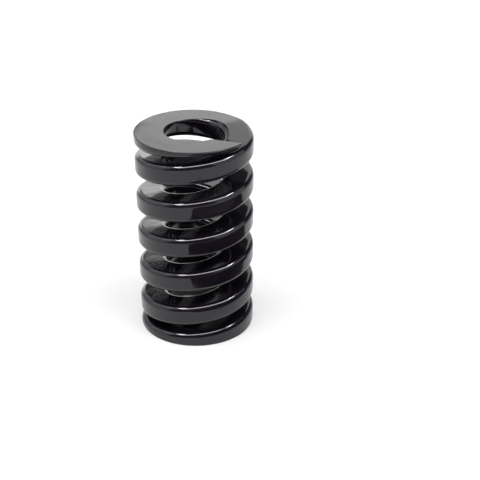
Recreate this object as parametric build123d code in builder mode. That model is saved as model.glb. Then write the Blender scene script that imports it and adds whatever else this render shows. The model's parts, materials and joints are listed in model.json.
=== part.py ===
"""Die spring: a helical compression spring of heavy rectangular wire, with closed and ground ends.

The spring stands on its lower ground face, with its axis on +Z and the origin at the centre of that face.
It is one piece of wire: the coil is lofted through sections of the wire, its two ends are ground flat, the
bore and the outside are trimmed to true cylinders, and the thin tips are cut across at a skew.
"""

import math
import os

from build123d import *

os.makedirs("parts", exist_ok=True)

# ---- driving sizes, in millimetres, turns and degrees ----
outside_diameter = 25.0
inside_diameter = 12.5
free_length = 45.0
wire_thickness = 4.5  # of the wire, along the axis of the spring
corner_flat = 0.8  # leg of the flat that eases each corner of the wire
total_turns = 6.58  # from one wire tip to the other
closed_turns = 0.82  # from each tip, before the coil starts to open
opening_turns = 0.25  # over which the pitch grows to that of the open coils
tip_thickness = 0.5  # of what grinding leaves of the wire at its tip
tip_clearance = 1.2  # between a tip and the coil it closes on
tip_skew = 17.5  # of the cut across the wire at its tip, from the radial direction at the outside
top_tip_bearing = 325.0  # of the upper tip round the axis, counter-clockwise from +X
sections_per_turn = 12
trim_allowance = 0.05  # stock on the bore and the outside, taken off by the trimming

# ---- sizes that follow ----
outside_radius = outside_diameter / 2
bore_radius = inside_diameter / 2
mean_radius = (outside_radius + bore_radius) / 2
wire_width = outside_radius - bore_radius
half_turns = total_turns / 2


def opened(turns):
    """Turns gained by the opening coil, this many turns from a tip: its slope eases from 0 to 1."""
    x = (turns - closed_turns) / opening_turns
    if x <= 0:
        return 0.0
    if x >= 1:
        return opening_turns * (x - 0.5)
    return opening_turns * (x**3 - x**4 / 2)


# The wire clears its tip by the end of its first turn, and the open coils share what is left of the height.
first_turn_rise = wire_thickness + tip_clearance
open_pitch = (free_length + wire_thickness - 2 * (tip_thickness + first_turn_rise)) / (total_turns - 2)
closed_pitch = (first_turn_rise - open_pitch * opened(1)) / (1 - opened(1))


def rise(turns):
    """Height of the wire's middle over its height at the tip, this many turns from that tip."""
    return closed_pitch * turns + (open_pitch - closed_pitch) * opened(turns)


def middle_height(turns):
    """Height of the wire's middle over the lower ground face, counted in turns from the lower tip."""
    tip_height = tip_thickness - wire_thickness / 2
    if turns <= half_turns:
        return tip_height + rise(turns)
    return free_length - tip_height - rise(total_turns - turns)


def bearing(turns):
    """Direction of the wire round the axis, in degrees, counted in turns from the lower tip."""
    return top_tip_bearing - 360 * (total_turns - turns)


def radial_plane(degrees, radius, height, faces_up=True, along_wire=True):
    """Plane at a bearing with X outwards: across the wire, or flat and facing up or down."""
    angle = math.radians(degrees)
    outwards = (math.cos(angle), math.sin(angle), 0)
    onwards = (-math.sin(angle), math.cos(angle), 0)
    vertical = (0, 0, 1) if faces_up else (0, 0, -1)
    origin = (radius * outwards[0], radius * outwards[1], height)
    return Plane(origin=origin, x_dir=outwards, z_dir=onwards if along_wire else vertical)


# ---- section of the wire: X outwards, Y downwards, corners eased, with stock on both walls ----
half_thickness = wire_thickness / 2
wall_x = wire_width / 2 + trim_allowance
wall_y = half_thickness - corner_flat - trim_allowance
face_x = wire_width / 2 - corner_flat
section_corners = [
    (wall_x, wall_y),
    (face_x, half_thickness),
    (-face_x, half_thickness),
    (-wall_x, wall_y),
    (-wall_x, -wall_y),
    (-face_x, -half_thickness),
    (face_x, -half_thickness),
    (wall_x, -wall_y),
]

with BuildPart() as die_spring:
    # the coiled wire, before grinding
    section_count = round(sections_per_turn * total_turns)
    for i in range(section_count + 1):
        turns = total_turns * i / section_count
        with BuildSketch(radial_plane(bearing(turns), mean_radius, middle_height(turns))):
            with BuildLine():
                for start, end in zip(section_corners, section_corners[1:] + section_corners[:1]):
                    # weighted by radius, the coiled sides follow straight chords and need few facets
                    Bezier(start, end, weights=[mean_radius + end[0], mean_radius + start[0]])
            make_face()
    loft()

    # both ends ground flat
    split(bisect_by=Plane.XY, keep=Keep.TOP)
    split(bisect_by=Plane.XY.offset(free_length), keep=Keep.BOTTOM)

    # bore and outside trimmed to size, past both ends
    trim_length = free_length + 2 * wire_thickness
    with BuildSketch(Plane.XY.offset(-wire_thickness)):
        Circle(bore_radius)
    extrude(amount=trim_length, mode=Mode.SUBTRACT)
    with BuildSketch(Plane.XY.offset(-wire_thickness)):
        Circle(outside_radius)
    extrude(amount=trim_length, mode=Mode.INTERSECT)

    # the skewed cut across each thin tip, which stays under the next coil
    cut_reach = 1.2 * wire_width
    cut_setback = cut_reach * math.tan(math.radians(tip_skew))
    cut_outline = [(0, 0), (-cut_reach, cut_setback), (-cut_reach, 0)]
    cut_depth = tip_thickness + tip_clearance / 2
    for degrees, height, faces_up in ((bearing(0), 0, True), (bearing(total_turns), free_length, False)):
        with BuildSketch(radial_plane(degrees, outside_radius, height, faces_up, along_wire=False)):
            Polygon(*cut_outline, align=None)
        extrude(amount=cut_depth, mode=Mode.SUBTRACT)

die_spring.part.label = "die_spring"
export_step(die_spring.part, "parts/die_spring.step")
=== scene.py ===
"""A die spring in stoved black enamel, standing on its ground end on a pale floor in soft studio light."""

import json
import logging
import math
from dataclasses import dataclass
from typing import Any

import bpy
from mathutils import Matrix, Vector

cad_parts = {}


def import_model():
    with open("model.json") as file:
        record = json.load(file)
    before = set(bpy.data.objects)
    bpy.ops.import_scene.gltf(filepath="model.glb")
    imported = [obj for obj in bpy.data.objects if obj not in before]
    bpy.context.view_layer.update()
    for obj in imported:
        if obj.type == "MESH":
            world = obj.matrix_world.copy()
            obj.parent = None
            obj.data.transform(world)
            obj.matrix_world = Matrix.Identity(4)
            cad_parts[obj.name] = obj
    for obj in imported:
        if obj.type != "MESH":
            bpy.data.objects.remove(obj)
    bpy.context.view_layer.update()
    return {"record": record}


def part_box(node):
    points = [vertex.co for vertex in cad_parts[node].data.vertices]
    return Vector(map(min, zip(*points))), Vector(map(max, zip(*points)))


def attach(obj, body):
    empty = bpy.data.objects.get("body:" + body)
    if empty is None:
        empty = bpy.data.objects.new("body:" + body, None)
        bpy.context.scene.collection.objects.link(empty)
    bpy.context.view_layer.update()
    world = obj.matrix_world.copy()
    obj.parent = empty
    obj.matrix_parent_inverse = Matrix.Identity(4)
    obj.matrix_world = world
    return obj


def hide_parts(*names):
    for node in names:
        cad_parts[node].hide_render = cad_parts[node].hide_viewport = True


logging.basicConfig(level=logging.INFO, format="%(message)s")
log = logging.getLogger("scene")

MM = 0.001
NODE = "die_spring"
BORE = "guide_bore"


# ---- nodes, colours and objects ----


def add_node(
    tree: bpy.types.NodeTree, kind: str, settings: dict[str, Any], inputs: dict[Any, Any]
) -> bpy.types.Node:
    """Add a node to a tree, with its settings, values and links.

    Args:
        tree: The node tree that gets the node.
        kind: The node's type, as Blender names it.
        settings: The node's own properties.
        inputs: A value or a linked socket for each input, by its name or number.

    Returns:
        The new node.
    """
    node = tree.nodes.new(kind)
    for name, value in settings.items():
        setattr(node, name, value)
    for name, value in inputs.items():
        if isinstance(value, Formula):
            value = value.source
        if isinstance(value, bpy.types.NodeSocket):
            tree.links.new(value, node.inputs[name])
        else:
            node.inputs[name].default_value = value
    return node


def linear(colour: str) -> tuple[float, float, float, float]:
    """Turn an sRGB colour into the linear colour that a shader takes.

    Args:
        colour: The colour in hex, such as "#ffffff".

    Returns:
        The linear red, green and blue, and an alpha of 1.
    """
    channels = [int(colour[i : i + 2], 16) / 255 for i in (1, 3, 5)]
    r, g, b = (c / 12.92 if c <= 0.04045 else ((c + 0.055) / 1.055) ** 2.4 for c in channels)
    return (r, g, b, 1.0)


def empty_material(name: str) -> bpy.types.Material:
    """Make a material without any nodes.

    Args:
        name: The material's name.

    Returns:
        The new material, whose node tree is empty.
    """
    material = bpy.data.materials.new(name)
    material.use_nodes = True
    material.node_tree.nodes.clear()
    return material


def add_object(name: str, data: bpy.types.ID) -> bpy.types.Object:
    """Make an object at the origin and link it to the scene.

    Args:
        name: The object's name.
        data: Its mesh, lamp or lens.

    Returns:
        The new object.
    """
    added = bpy.data.objects.new(name, data)
    bpy.context.scene.collection.objects.link(added)
    return added


class Formula:
    """A number that a node tree works out at each point. Every operation on it adds a Math node."""

    def __init__(self, tree: bpy.types.NodeTree, source: Any) -> None:
        """Wrap a socket or a plain number."""
        self.tree = tree
        self.source = source

    def apply(self, operation: str, *others: Any) -> "Formula":
        """Add a Math node on this number and the others.

        Args:
            operation: The Math node's operation, as Blender names it.
            others: The numbers or formulas that follow this one.

        Returns:
            The result, as a formula.
        """
        inputs = dict(enumerate((self, *others)))
        node = add_node(self.tree, "ShaderNodeMath", {"operation": operation}, inputs)
        return Formula(self.tree, node.outputs[0])

    def __add__(self, other: Any) -> "Formula":
        """Sum."""
        return self.apply("ADD", other)

    def __sub__(self, other: Any) -> "Formula":
        """Difference."""
        return self.apply("SUBTRACT", other)

    def __mul__(self, other: Any) -> "Formula":
        """Product."""
        return self.apply("MULTIPLY", other)

    def __truediv__(self, other: Any) -> "Formula":
        """Quotient."""
        return self.apply("DIVIDE", other)

    def __rsub__(self, other: float) -> "Formula":
        """Difference from a plain number."""
        return Formula(self.tree, other).apply("SUBTRACT", self)

    def at_most(self, other: Any) -> "Formula":
        """The smaller of the two."""
        return self.apply("MINIMUM", other)

    def at_least(self, other: Any) -> "Formula":
        """The larger of the two."""
        return self.apply("MAXIMUM", other)

    def within_unit(self) -> "Formula":
        """This number, kept from 0 to 1."""
        return self.at_least(0.0).at_most(1.0)

    def where(self, yes: Any, no: Any) -> "Formula":
        """Yes where this number is 1, and no where it is 0."""
        return self * yes + (1.0 - self) * no


# ---- the spring ----


@dataclass(frozen=True)
class WireCoil:
    """The coiled rectangular wire with closed and ground ends, in metres and turns of the coil."""

    outside_radius: float
    bore_radius: float
    free_length: float
    wire_thickness: float = 4.5 * MM
    corner_radius: float = 1.15 * MM  # rolled on the wire
    edge_radius: float = 0.16 * MM  # left by the paint on each ground edge
    total_turns: float = 6.58
    level_turns: float = 0.72  # from the tip to where the closed end has its full thickness and runs level
    level_ease: float = 0.06  # turns before and after that over which it levels out
    closed_turns: float = 0.8  # from the tip to where the end opens
    opening_turns: float = 0.03
    tip_thickness: float = 0.5 * MM
    tip_skew: float = math.radians(17.5)
    skew_turns: float = 0.5  # over which the lean of a skewed tip dies away
    top_tip_bearing: float = math.radians(325.0)
    steps_per_turn: int = 128
    corner_points: int = 12  # on each corner of the section
    rolled_share: float = 2 / 3  # of those points, on the rolled corner; the rest are on the ground edge
    cap_rows: int = 4  # that round the edges of each tip's face
    merged_within: float = 0.002 * MM
    flats_weight: int = 80  # how far the large faces set the shading

    @property
    def closed_pitch(self) -> float:
        """Rise per turn of a closed end, which gains its full thickness before it runs level."""
        return (self.wire_thickness - self.tip_thickness) / self.level_turns

    @property
    def open_pitch(self) -> float:
        """Rise per turn of the open coils."""
        open_turns = self.total_turns - 2 * self.closed_turns - self.opening_turns
        return (self.free_length - self.wire_thickness) / open_turns

    def named_inputs(self) -> dict[str, float]:
        """List the sizes that the node tree takes.

        Returns:
            Each size, by the name of its input.
        """
        return {
            "Outside Radius": self.outside_radius,
            "Bore Radius": self.bore_radius,
            "Free Length": self.free_length,
            "Wire Thickness": self.wire_thickness,
            "Corner Radius": self.corner_radius,
            "Edge Radius": self.edge_radius,
            "Total Turns": self.total_turns,
            "Level Turns": self.level_turns,
            "Level Ease": self.level_ease,
            "Closed Turns": self.closed_turns,
            "Opening Turns": self.opening_turns,
            "Tip Thickness": self.tip_thickness,
            "Closed Pitch": self.closed_pitch,
            "Open Pitch": self.open_pitch,
            "Tip Skew": self.tip_skew,
            "Skew Turns": self.skew_turns,
            "Top Tip Bearing": self.top_tip_bearing,
        }

    def build(self, finish: bpy.types.Material) -> bpy.types.Object:
        """Wind the coil with Geometry Nodes and turn it into a plain mesh.

        Args:
            finish: The material of the whole coil.

        Returns:
            The finished spring, at the origin.
        """
        tree = self._tree()
        carrier = add_object("coil_carrier", bpy.data.meshes.new("coil_carrier"))
        modifier = carrier.modifiers.new("Wind coil", "NODES")
        modifier.node_group = tree
        values = {**self.named_inputs(), "Finish": finish}
        for item in tree.interface.items_tree:
            if item.in_out == "INPUT" and item.name in values:
                modifier[item.identifier] = values[item.name]
        graph = bpy.context.evaluated_depsgraph_get()
        mesh = bpy.data.meshes.new_from_object(carrier.evaluated_get(graph), depsgraph=graph)
        carrier.modifiers.remove(modifier)
        bpy.data.objects.remove(carrier)
        mesh.name = "painted_coil"
        spring = add_object("painted_coil", mesh)
        flats = spring.modifiers.new("Keep flats flat", "WEIGHTED_NORMAL")
        flats.weight = self.flats_weight
        return spring

    def _tree(self) -> bpy.types.GeometryNodeTree:
        """Build the node tree that bends a grid into the coiled wire.

        Returns:
            The tree, with an input for each size and one for the finish.
        """
        tree = bpy.data.node_groups.new("Die spring coil", "GeometryNodeTree")
        for name in self.named_inputs():
            tree.interface.new_socket(name, in_out="INPUT", socket_type="NodeSocketFloat")
        tree.interface.new_socket("Finish", in_out="INPUT", socket_type="NodeSocketMaterial")
        tree.interface.new_socket("Geometry", in_out="OUTPUT", socket_type="NodeSocketGeometry")
        given = add_node(tree, "NodeGroupInput", {}, {})
        size = {name: Formula(tree, given.outputs[name]) for name in self.named_inputs()}

        # the grid's rows go along the wire, and its columns round the four corners of the section
        rows = round(self.steps_per_turn * self.total_turns) + 2 * self.cap_rows
        columns = 4 * self.corner_points + 1
        grid = add_node(
            tree,
            "GeometryNodeMeshGrid",
            {},
            {"Size X": rows - 1.0, "Size Y": 4.0, "Vertices X": rows, "Vertices Y": columns},
        )
        position = add_node(tree, "GeometryNodeInputPosition", {}, {})
        place = add_node(tree, "ShaderNodeSeparateXYZ", {}, {"Vector": position.outputs[0]})
        row = Formula(tree, place.outputs["X"]) + (rows - 1) / 2
        round_wire = Formula(tree, place.outputs["Y"]) + 2.0

        turns, inset, spread = self._along(size, row, rows)
        across, up, along = self._section(size, round_wire, turns, inset, spread)
        bearing = (along - size["Total Turns"]) * math.tau + size["Top Tip Bearing"]
        radius = (size["Outside Radius"] + size["Bore Radius"]) / 2.0 + across
        wound = add_node(
            tree,
            "ShaderNodeCombineXYZ",
            {},
            {"X": radius * bearing.apply("COSINE"), "Y": radius * bearing.apply("SINE"), "Z": up},
        )

        shape = grid.outputs["Mesh"]
        for kind, inputs in (
            ("GeometryNodeSetPosition", {"Position": wound.outputs[0]}),
            ("GeometryNodeMergeByDistance", {"Distance": self.merged_within}),
            ("GeometryNodeSetShadeSmooth", {}),
            ("GeometryNodeRealizeInstances", {}),
            ("GeometryNodeSetMaterial", {"Material": given.outputs["Finish"]}),
        ):
            shape = add_node(tree, kind, {}, {"Geometry": shape, **inputs}).outputs[0]
        add_node(tree, "NodeGroupOutput", {}, {"Geometry": shape})
        return tree

    def _along(
        self, size: dict[str, Formula], row: Formula, rows: int
    ) -> tuple[Formula, Formula, Formula]:
        """Follow the wire from tip to tip, through the rounded edges of each tip's face.

        Args:
            size: The tree's sizes.
            row: The number of the row of points along the wire.
            rows: How many rows there are.

        Returns:
            The turns from the lower tip, how far the section is drawn in, and 0 on the rows that close a tip.
        """
        quarter = math.pi / 2
        from_start = ((row - 1.0) / (self.cap_rows - 1.0)).within_unit() * quarter
        from_end = (((rows - 2.0) - row) / (self.cap_rows - 1.0)).within_unit() * quarter
        cap = size["Edge Radius"] / ((size["Outside Radius"] + size["Bore Radius"]) * math.pi)
        body = ((row - float(self.cap_rows)) / (rows - 1.0 - 2 * self.cap_rows)).within_unit()
        capped = (1.0 - from_start.apply("COSINE") + from_end.apply("COSINE")) * cap
        turns = capped + body * (size["Total Turns"] - cap * 2.0)
        inset = (2.0 - from_start.apply("SINE") - from_end.apply("SINE")) * size["Edge Radius"]
        spread = row.apply("GREATER_THAN", 0.5) * row.apply("LESS_THAN", rows - 1.5)
        return turns, inset, spread

    def _height(self, size: dict[str, Formula], turns: Formula) -> Formula:
        """Rise with the pitch of the coil, which levels out on each closed end and then opens.

        Args:
            size: The tree's sizes.
            turns: Turns from the lower tip.

        Returns:
            The height of the wire's middle over the floor.
        """
        from_top = size["Total Turns"] - turns
        nearest = turns.at_most(from_top)
        bends = size["Level Turns"] - size["Level Ease"]
        bent = (nearest - bends).at_least(0.0).at_most(size["Level Ease"] * 2.0)
        closed = nearest.at_most(bends) + bent - bent * bent / (size["Level Ease"] * 4.0)
        past = (nearest - size["Closed Turns"]) / size["Opening Turns"]
        eased = past.within_unit()
        cubed = eased * eased * eased
        opened = (cubed - cubed * eased / 2.0 + (past - 1.0).at_least(0.0)) * size["Opening Turns"]
        rise = size["Closed Pitch"] * closed + size["Open Pitch"] * opened
        height = size["Tip Thickness"] - size["Wire Thickness"] / 2.0 + rise
        return turns.apply("LESS_THAN", from_top).where(height, size["Free Length"] - height)

    def _skewed(self, size: dict[str, Formula], across: Formula, turns: Formula) -> Formula:
        """Lean the ends of the wire, so that each tip is cut off straight, at its skew.

        Args:
            size: The tree's sizes.
            across: Distance outwards from the middle of the wire.
            turns: Turns from the lower tip.

        Returns:
            The turns from the lower tip where a point of the leaning section stands.
        """
        radius = (size["Outside Radius"] + size["Bore Radius"]) / 2.0 + across
        sine = size["Outside Radius"] * size["Tip Skew"].apply("SINE") / radius
        lean = (sine.apply("ARCSINE") - size["Tip Skew"]) / math.tau
        from_top = size["Total Turns"] - turns
        low = (1.0 - turns / size["Skew Turns"]).at_least(0.0)
        high = (1.0 - from_top / size["Skew Turns"]).at_least(0.0)
        return turns + lean * (low - high)

    def _section(
        self, size: dict[str, Formula], round_wire: Formula, turns: Formula, inset: Formula, spread: Formula
    ) -> tuple[Formula, Formula, Formula]:
        """Draw the wire's section: a rounded rectangle, cut off level where grinding reaches it.

        Args:
            size: The tree's sizes.
            round_wire: Corners passed on the way round the wire, from 0 to 4.
            turns: Turns from the lower tip.
            inset: How far the section is drawn in.
            spread: 0 where the section shrinks to a point.

        Returns:
            The distance outwards from the middle of the wire, the height, and the turns from the lower tip.
        """
        # corners 0 and 1 are the upper ones, 0 and 3 the outer ones, and 1 and 3 run from flat to side
        slack = 0.0001  # more than a rounding error
        passed = (round_wire + slack).apply("FLOOR")
        share = (round_wire - passed) * (self.corner_points / (self.corner_points - 1.0))
        corner = passed.apply("MODULO", 4.0)
        backwards = corner.apply("MODULO", 2.0)
        share = (share + backwards * (1.0 - share * 2.0)).within_unit()
        outer = (corner - 1.5).apply("ABSOLUTE").apply("GREATER_THAN", 1.0)
        upper = corner.apply("LESS_THAN", 1.5)
        side = outer * 2.0 - 1.0
        way = upper * 2.0 - 1.0

        # the section stands where its own point is, so that a skewed tip is ground level too
        half_width = (size["Outside Radius"] - size["Bore Radius"]) / 2.0
        along = self._skewed(size, side * half_width, turns)
        middle = self._height(size, along)
        half = size["Wire Thickness"] / 2.0
        above = (size["Free Length"] - middle).at_most(half)
        below = middle.at_most(half)
        reach = upper.where(above, below)
        thickness = above + below

        edge = size["Edge Radius"]
        rounding = size["Corner Radius"].at_most((thickness - edge).at_least(edge))
        edge_height = reach - edge
        arc_height = (half - rounding).at_most(edge_height)
        lift = edge_height - arc_height
        run = ((rounding - edge) * (rounding - edge) - lift * lift).at_least(0.0).apply("SQRT")
        met = lift.apply("ARCTAN2", run)

        # round the rolled corner as far as the ground edge, and then round that
        rolled = (share / self.rolled_share).at_most(1.0) * met
        past_rolled = ((share - self.rolled_share) / (1 - self.rolled_share)).at_least(0.0)
        ground = met + past_rolled * (math.pi / 2 - met)
        on_edge = past_rolled.apply("GREATER_THAN", slack)
        across = half_width - rounding + on_edge.where(
            run + ground.apply("COSINE") * edge, rolled.apply("COSINE") * rounding
        )
        height = on_edge.where(
            edge_height + ground.apply("SINE") * edge, arc_height + rolled.apply("SINE") * rounding
        )

        centre = middle + (above - below) / 2.0
        narrowed = (1.0 - inset / half_width) * spread
        lowered = (1.0 - inset * 2.0 / thickness) * spread
        across = across * side * narrowed
        up = centre + (middle + height * way - centre) * lowered
        return across, up, self._skewed(size, across, turns)


# ---- finishes ----


@dataclass(frozen=True)
class StovedEnamel:
    """Black enamel, dipped and stoved on spring steel.

    The thick film is glossy, so the studio shows in it, waved by slow sags and a faint peel. A thin haze
    of dust dulls it in patches. On the ground ends, the lay of the grinding wheel shows through the film.
    """

    free_length: float  # of the spring, whose ends are ground
    colour: str = "#17121c"
    roughness: float = 0.08
    ior: float = 1.5
    dusty_roughness: float = 0.16
    dust_width: float = 5.0 * MM
    dust_starts: float = 0.42  # on the noise from 0 to 1, and where it lies thickest
    dust_full: float = 0.67
    peel_width: float = 1.4 * MM
    peel_height: float = 0.003 * MM
    sag_width: float = 4.5 * MM
    sag_height: float = 0.045 * MM
    lay_width: float = 0.45 * MM  # some four times the real grit, so that it shows
    lay_length: float = 12.0 * MM
    lay_height: float = 0.0012 * MM
    ground_depth: float = 0.02 * MM

    def material(self) -> bpy.types.Material:
        """Make the material.

        Returns:
            The enamel with its sags, peel, dust and lay.
        """
        material = empty_material("stoved_black_enamel")
        tree = material.node_tree
        place = add_node(tree, "ShaderNodeTexCoord", {}, {}).outputs["Object"]
        height = Formula(tree, add_node(tree, "ShaderNodeSeparateXYZ", {}, {"Vector": place}).outputs["Z"])
        stretch = (1 / self.lay_length, 1 / self.lay_width, 1 / self.lay_width)
        grain = add_node(tree, "ShaderNodeVectorMath", {"operation": "MULTIPLY"}, {0: place, 1: stretch})

        noises = []
        for spot, scale, detail in (
            (place, 1 / self.sag_width, 1.0),
            (place, 1 / self.peel_width, 2.0),
            (place, 1 / self.dust_width, 4.0),
            (grain.outputs[0], 1.0, 2.0),
        ):
            inputs = {"Vector": spot, "Scale": scale, "Detail": detail}
            noise = add_node(tree, "ShaderNodeTexNoise", {}, inputs)
            noises.append(Formula(tree, noise.outputs["Fac"]))
        sag, peel, dust, scratches = noises

        dusty = ((dust - self.dust_starts) / (self.dust_full - self.dust_starts)).within_unit()
        from_middle = (height - self.free_length / 2).apply("ABSOLUTE")
        lay = scratches * from_middle.apply("GREATER_THAN", self.free_length / 2 - self.ground_depth)
        relief: dict[str, Any] = {}
        for layer, depth in ((sag, self.sag_height), (peel, self.peel_height), (lay, self.lay_height)):
            inputs = {"Strength": 1.0, "Distance": depth, "Height": layer, **relief}
            relief = {"Normal": add_node(tree, "ShaderNodeBump", {}, inputs).outputs["Normal"]}
        shader = add_node(
            tree,
            "ShaderNodeBsdfPrincipled",
            {},
            {
                "Base Color": linear(self.colour),
                "Roughness": dusty.where(self.dusty_roughness, self.roughness),
                "IOR": self.ior,
                **relief,
            },
        )
        add_node(tree, "ShaderNodeOutputMaterial", {}, {"Surface": shader.outputs["BSDF"]})
        return material


@dataclass(frozen=True)
class BlackOilcloth:
    """Black oilcloth: so dark that little but its dull, broad sheen comes back from it."""

    colour: str = "#161318"
    roughness: float = 0.5

    def material(self) -> bpy.types.Material:
        """Make the material.

        Returns:
            The oilcloth.
        """
        material = empty_material("black_oilcloth")
        shader = add_node(
            material.node_tree,
            "ShaderNodeBsdfPrincipled",
            {},
            {"Base Color": linear(self.colour), "Roughness": self.roughness},
        )
        surface = {"Surface": shader.outputs["BSDF"]}
        add_node(material.node_tree, "ShaderNodeOutputMaterial", {}, surface)
        return material


@dataclass(frozen=True)
class WhitePaper:
    """Matt white background paper: it scatters light evenly, without any gloss.

    Its own light lifts it towards white for the camera and for what mirrors it, and it still keeps the
    spring's shadow.
    """

    colour: str = "#f4f4f4"
    roughness: float = 0.9
    lift: float = 0.28
    whitens: float = 0.16  # metres from the spring where the lift starts to grow, and over which it does

    def material(self) -> bpy.types.Material:
        """Make the material.

        Returns:
            The paper.
        """
        material = empty_material("white_paper")
        tree = material.node_tree
        path = add_node(tree, "ShaderNodeLightPath", {}, {})
        seen = Formula(tree, path.outputs["Is Camera Ray"])
        mirrored = Formula(tree, path.outputs["Is Glossy Ray"])
        place = add_node(tree, "ShaderNodeTexCoord", {}, {}).outputs["Object"]
        reach = add_node(tree, "ShaderNodeVectorMath", {"operation": "LENGTH"}, {0: place})
        far = ((Formula(tree, reach.outputs["Value"]) - self.whitens) / self.whitens).within_unit()
        shader = add_node(
            tree,
            "ShaderNodeBsdfPrincipled",
            {},
            {
                "Base Color": linear(self.colour),
                "Roughness": self.roughness,
                "Specular IOR Level": 0.0,
                "Emission Color": linear("#ffffff"),
                "Emission Strength": seen * far.where(1.0, self.lift) + mirrored * self.lift,
            },
        )
        add_node(tree, "ShaderNodeOutputMaterial", {}, {"Surface": shader.outputs["BSDF"]})
        return material


# ---- studio ----


@dataclass(frozen=True)
class SoftBox:
    """A rectangular studio lamp that faces the spring, in metres and degrees."""

    name: str
    bearing: float  # round the spring, counter-clockwise from +X
    elevation: float
    distance: float
    width: float
    height: float
    radiance: float  # where 1 looks white
    glossy_only: bool = False  # a small hard strobe that only adds a glint

    def build(self, target: Vector) -> None:
        """Make the lamp and aim it.

        Args:
            target: The point that the lamp faces.
        """
        light = bpy.data.lights.new(self.name, "AREA")
        light.shape = "RECTANGLE"
        light.size = self.width
        light.size_y = self.height
        light.energy = self.radiance * math.pi * self.width * self.height
        bearing, elevation = math.radians(self.bearing), math.radians(self.elevation)
        flat = math.cos(elevation)
        away = Vector((math.cos(bearing) * flat, math.sin(bearing) * flat, math.sin(elevation)))
        lamp = add_object(self.name, light)
        lamp.location = target + away * self.distance
        lamp.rotation_euler = away.to_track_quat("Z", "Y").to_euler()
        lamp.visible_camera = False
        lamp.visible_diffuse = not self.glossy_only


@dataclass(frozen=True)
class DarkRoll:
    """A dark roll that lies on the floor and shows in reflections only, in metres.

    Its round end and its side darken part of what the glossy faces mirror, as a neighbour would.
    """

    near: Vector  # the middles of its two ends, on the floor
    far: Vector
    radius: float
    sides: int = 96

    def build(self, finish: bpy.types.Material) -> None:
        """Make the roll.

        Args:
            finish: The material of its side and ends.
        """
        axis = self.far - self.near
        across = Vector((axis.y, -axis.x, 0)).normalized() * self.radius
        up = Vector((0, 0, self.radius))
        angles = [math.tau * i / self.sides for i in range(self.sides)]
        points = [
            end + up + across * math.cos(angle) + up * math.sin(angle)
            for end in (self.near, self.far)
            for angle in angles
        ]
        first, second = range(self.sides), range(self.sides, 2 * self.sides)
        side = [(first[i - 1], first[i], second[i], second[i - 1]) for i in range(self.sides)]
        mesh = bpy.data.meshes.new("dark_roll")
        mesh.from_pydata(points, [], [*side, tuple(first), tuple(second)])
        mesh.materials.append(finish)
        roll = add_object("dark_roll", mesh)
        roll.visible_camera = False
        roll.visible_diffuse = False
        roll.visible_shadow = False


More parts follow.
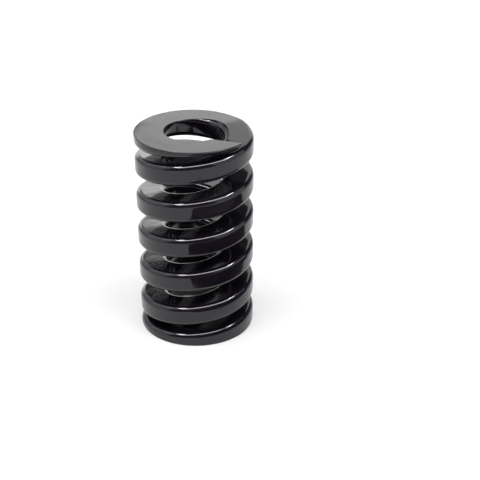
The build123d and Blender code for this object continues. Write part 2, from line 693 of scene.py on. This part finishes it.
@dataclass(frozen=True)
class Studio:
    """The pale floor, the room, the lamps, the dark roll and the camera, in metres."""

    outside_radius: float  # of the spring that it is set round
    free_length: float
    floor_size: float = 3.0
    world_strength: float = 0.12
    mirrored_room: float = 0.06  # the dark upper part of the room, as the enamel mirrors it
    mirrored_foot: float = 0.4  # the foot of its walls
    mirrored_backdrop: float = 1.95  # the foot of the wall behind the spring
    backdrop_starts: float = 0.8  # as the cosine of the angle from +Y, and how soon it is in full
    backdrop_eases: float = 0.12
    foot_height: float = 0.165  # as the sine of its elevation, and where it has faded out
    foot_fades: float = 0.225
    lens: float = 78.63  # millimetres
    pitch: float = math.radians(27.25)
    camera_offset: tuple[float, float, float] = (0.768, -16.274, 6.331)  # from the top, in outside radii
    roll_near: tuple[float, float, float] = (0.352, -3.04, 0.0)  # in outside radii too
    roll_far: tuple[float, float, float] = (3.04, -0.56, 0.0)
    roll_radius: float = 1.04

    def floor(self) -> None:
        """Lay the floor."""
        half = self.floor_size / 2
        corners = [(-half, -half, 0), (half, -half, 0), (half, half, 0), (-half, half, 0)]
        mesh = bpy.data.meshes.new("floor")
        mesh.from_pydata(corners, [], [(0, 1, 2, 3)])
        mesh.materials.append(WhitePaper().material())
        add_object("floor", mesh)

    def world(self) -> None:
        """Fill the room with soft light, white to the camera and dark but for its foot in reflections."""
        world = bpy.data.worlds.new("room")
        bpy.context.scene.world = world
        world.use_nodes = True
        tree = world.node_tree
        tree.nodes.clear()
        path = add_node(tree, "ShaderNodeLightPath", {}, {})
        seen = Formula(tree, path.outputs["Is Camera Ray"])
        mirrored = Formula(tree, path.outputs["Is Glossy Ray"])
        coordinates = add_node(tree, "ShaderNodeTexCoord", {}, {})
        direction = add_node(tree, "ShaderNodeSeparateXYZ", {}, {"Vector": coordinates.outputs["Generated"]})
        height = Formula(tree, direction.outputs["Z"])
        towards = Formula(tree, direction.outputs["Y"])
        foot = ((self.foot_fades - height) / (self.foot_fades - self.foot_height)).within_unit()
        behind = ((towards - self.backdrop_starts) / self.backdrop_eases).within_unit()
        room = foot.where(behind.where(self.mirrored_backdrop, self.mirrored_foot), self.mirrored_room)
        strength = seen.where(1.0, mirrored.where(room, self.world_strength))
        background = add_node(
            tree, "ShaderNodeBackground", {}, {"Color": linear("#ffffff"), "Strength": strength}
        )
        add_node(tree, "ShaderNodeOutputWorld", {}, {"Surface": background.outputs["Background"]})

    def lamps(self) -> None:
        """Hang the lamps: a strip overhead, soft walls at the sides and behind, and hard strobes."""
        target = Vector((0, 0, self.free_length / 2))
        # each one's bearing, elevation, distance, width, height and radiance
        boxes = (
            SoftBox("top_strip", 280, 72.5, 0.93, 1.26, 0.32, 4.5),
            SoftBox("edge_strip", 280, 72.5, 0.92, 1.26, 0.1, 14.0, glossy_only=True),
            SoftBox("left_strobe", 195, 63, 0.9, 0.1, 0.16, 45.0, glossy_only=True),
            SoftBox("right_strobe", 0, 58, 0.9, 0.16, 0.12, 45.0, glossy_only=True),
            SoftBox("left_wall", 183, 30, 1.0, 0.93, 0.9, 1.0),
            SoftBox("left_top", 176, 52, 0.98, 0.34, 0.3, 2.0),
            SoftBox("back_left", 131, 29, 1.0, 0.98, 0.7, 0.8),
            SoftBox("right_wall", 342, 28, 1.0, 1.3, 0.9, 0.85),
            SoftBox("back_low", 76, 24.5, 1.0, 0.71, 0.28, 1.72),
            SoftBox("back_high", 73, 39, 1.0, 0.58, 0.22, 1.55),
        )
        for box in boxes:
            box.build(target)

    def roll(self) -> None:
        """Lay the dark roll in front of the spring, on its right."""
        near = Vector(self.roll_near) * self.outside_radius
        far = Vector(self.roll_far) * self.outside_radius
        DarkRoll(near, far, self.roll_radius * self.outside_radius).build(BlackOilcloth().material())

    def camera(self) -> None:
        """Set up the camera, level from side to side and looking down along +Y."""
        lens = bpy.data.cameras.new("camera")
        lens.lens = self.lens
        camera = add_object("camera", lens)
        camera.location = Vector((0, 0, self.free_length)) + Vector(self.camera_offset) * self.outside_radius
        camera.rotation_euler = (math.pi / 2 - self.pitch, 0, 0)
        bpy.context.scene.camera = camera

    def build(self) -> None:
        """Set up the whole studio."""
        self.floor()
        self.world()
        self.lamps()
        self.roll()
        self.camera()
        bpy.context.scene.view_settings.view_transform = "Standard"


def main() -> None:
    """Load the frame, and make the spring and the studio."""
    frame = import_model()
    low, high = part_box(NODE)
    bore = next(mount for mount in frame["record"]["mounts"] if mount["name"] == BORE)
    coil = WireCoil(
        outside_radius=(high.x - low.x) / 2,
        bore_radius=bore["dims"]["r_mm"] * MM,
        free_length=high.z - low.z,
    )
    spring = coil.build(StovedEnamel(coil.free_length).material())
    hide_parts(NODE)
    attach(spring, "root")
    log.info("painted coil: %d faces", len(spring.data.polygons))
    Studio(coil.outside_radius, coil.free_length).build()


if __name__ == "__main__":
    main()
